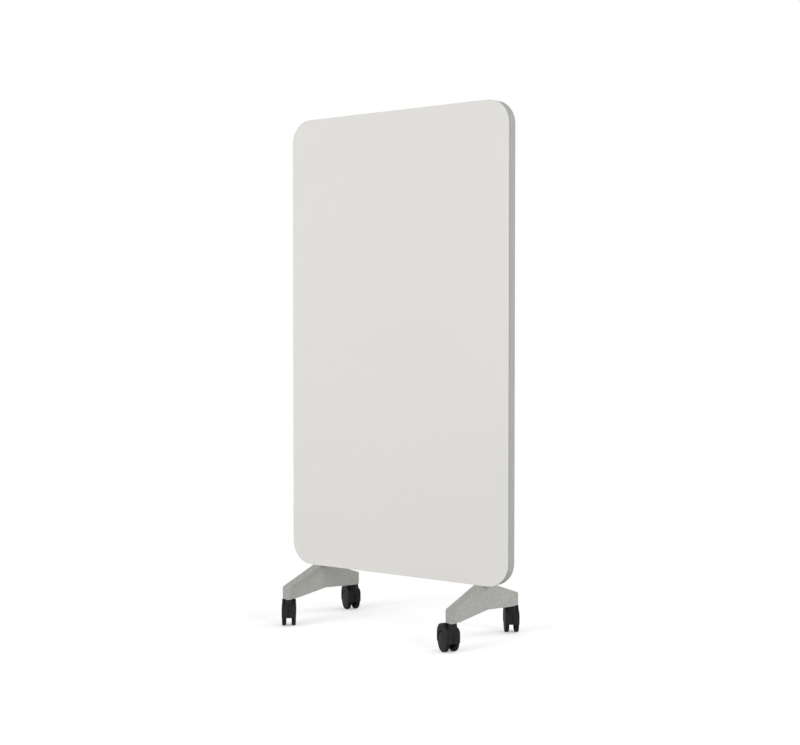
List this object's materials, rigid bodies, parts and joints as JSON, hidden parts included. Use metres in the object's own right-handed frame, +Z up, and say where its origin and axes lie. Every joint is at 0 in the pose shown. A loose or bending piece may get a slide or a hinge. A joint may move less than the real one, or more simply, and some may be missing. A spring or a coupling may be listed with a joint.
{
  "type": "rolling whiteboard",
  "caption": "Tall mobile whiteboard: thick panel with large rounded corners and a flush white writing face, on wedge-shaped feet with black twin-wheel swivel castors.",
  "frame": {"origin": "on the floor under the middle of the whole outline, castors included", "axes": "+Z up, -Y out of the white writing face, +X along the board's width"},
  "size_m": [1, 0.501, 1.9555],
  "materials": {
    "writing_white": "gloss",
    "frame_grey": "matte",
    "edging_grey": "matte",
    "honeycomb": "matte",
    "fibreboard": "matte",
    "felt_grey": "matte",
    "batt_grey": "matte",
    "tube_steel": "satin",
    "zinc_steel": "satin",
    "tape_black": "matte",
    "castor_black": "satin",
    "tyre_black": "matte"
  },
  "bodies": {
    "root": {"writing_skin": "writing_white", "face_core": "honeycomb", "face_edging": "edging_grey", "edge_frame": "frame_grey", "frame_splice": "zinc_steel", "splice_screws": "zinc_steel", "face_tape": "tape_black", "acoustic_batt": "batt_grey", "rear_board": "fibreboard", "board_screws": "zinc_steel", "felt_panel": "felt_grey", "bottom_rail": "tube_steel", "middle_rail": "tube_steel", "top_rail": "tube_steel", "upright_left": "tube_steel", "upright_plug_left": "zinc_steel", "foot_left": "frame_grey", "foot_bolt_left": "zinc_steel", "foot_washer_left": "zinc_steel", "upright_right": "tube_steel", "upright_plug_right": "zinc_steel", "foot_right": "frame_grey", "foot_bolt_right": "zinc_steel", "foot_washer_right": "zinc_steel", "castor_socket_front_left": "zinc_steel", "castor_stem_front_left": "zinc_steel", "stem_ring_front_left": "zinc_steel", "castor_socket_front_right": "zinc_steel", "castor_stem_front_right": "zinc_steel", "stem_ring_front_right": "zinc_steel", "castor_socket_rear_left": "zinc_steel", "castor_stem_rear_left": "zinc_steel", "stem_ring_rear_left": "zinc_steel", "castor_socket_rear_right": "zinc_steel", "castor_stem_rear_right": "zinc_steel", "stem_ring_rear_right": "zinc_steel"},
    "castor_front_left": {"castor_housing_front_left": "castor_black", "castor_axle_front_left": "zinc_steel"},
    "wheel_a_front_left": {"castor_wheel_a_front_left": "castor_black", "castor_tyre_a_front_left": "tyre_black"},
    "wheel_b_front_left": {"castor_wheel_b_front_left": "castor_black", "castor_tyre_b_front_left": "tyre_black"},
    "castor_front_right": {"castor_housing_front_right": "castor_black", "castor_axle_front_right": "zinc_steel"},
    "wheel_a_front_right": {"castor_wheel_a_front_right": "castor_black", "castor_tyre_a_front_right": "tyre_black"},
    "wheel_b_front_right": {"castor_wheel_b_front_right": "castor_black", "castor_tyre_b_front_right": "tyre_black"},
    "castor_rear_left": {"castor_housing_rear_left": "castor_black", "castor_axle_rear_left": "zinc_steel"},
    "wheel_a_rear_left": {"castor_wheel_a_rear_left": "castor_black", "castor_tyre_a_rear_left": "tyre_black"},
    "wheel_b_rear_left": {"castor_wheel_b_rear_left": "castor_black", "castor_tyre_b_rear_left": "tyre_black"},
    "castor_rear_right": {"castor_housing_rear_right": "castor_black", "castor_axle_rear_right": "zinc_steel"},
    "wheel_a_rear_right": {"castor_wheel_a_rear_right": "castor_black", "castor_tyre_a_rear_right": "tyre_black"},
    "wheel_b_rear_right": {"castor_wheel_b_rear_right": "castor_black", "castor_tyre_b_rear_right": "tyre_black"}
  },
  "joints": [
    {"name": "castor_swivel_front_left", "type": "hinge", "parent": "root", "child": "castor_front_left", "pos_m": [-0.377, -0.22145, 0.1], "axis": [0, 0, 1], "continuous": true},
    {"name": "wheel_a_spin_front_left", "type": "hinge", "parent": "castor_front_left", "child": "wheel_a_front_left", "pos_m": [-0.40852, -0.21074, 0.0375], "axis": [-0.7826, -0.6225, 0], "continuous": true},
    {"name": "wheel_b_spin_front_left", "type": "hinge", "parent": "castor_front_left", "child": "wheel_b_front_left", "pos_m": [-0.38034, -0.18833, 0.0375], "axis": [-0.7826, -0.6225, 0], "continuous": true},
    {"name": "castor_swivel_front_right", "type": "hinge", "parent": "root", "child": "castor_front_right", "pos_m": [0.377, -0.22145, 0.1], "axis": [0, 0, 1], "continuous": true},
    {"name": "wheel_a_spin_front_right", "type": "hinge", "parent": "castor_front_right", "child": "wheel_a_front_right", "pos_m": [0.34375, -0.22304, 0.0375], "axis": [-0.5, -0.866, 0], "continuous": true},
    {"name": "wheel_b_spin_front_right", "type": "hinge", "parent": "castor_front_right", "child": "wheel_b_front_right", "pos_m": [0.36175, -0.19186, 0.0375], "axis": [-0.5, -0.866, 0], "continuous": true},
    {"name": "castor_swivel_rear_left", "type": "hinge", "parent": "root", "child": "castor_rear_left", "pos_m": [-0.377, 0.18055, 0.1], "axis": [0, 0, 1], "continuous": true},
    {"name": "wheel_a_spin_rear_left", "type": "hinge", "parent": "castor_rear_left", "child": "wheel_a_rear_left", "pos_m": [-0.41025, 0.17896, 0.0375], "axis": [-0.5, -0.866, 0], "continuous": true},
    {"name": "wheel_b_spin_rear_left", "type": "hinge", "parent": "castor_rear_left", "child": "wheel_b_rear_left", "pos_m": [-0.39225, 0.21014, 0.0375], "axis": [-0.5, -0.866, 0], "continuous": true},
    {"name": "castor_swivel_rear_right", "type": "hinge", "parent": "root", "child": "castor_rear_right", "pos_m": [0.377, 0.18055, 0.1], "axis": [0, 0, 1], "continuous": true},
    {"name": "wheel_a_spin_rear_right", "type": "hinge", "parent": "castor_rear_right", "child": "wheel_a_rear_right", "pos_m": [0.34548, 0.19126, 0.0375], "axis": [-0.7826, -0.6225, 0], "continuous": true},
    {"name": "wheel_b_spin_rear_right", "type": "hinge", "parent": "castor_rear_right", "child": "wheel_b_rear_right", "pos_m": [0.37366, 0.21367, 0.0375], "axis": [-0.7826, -0.6225, 0], "continuous": true}
  ]
}
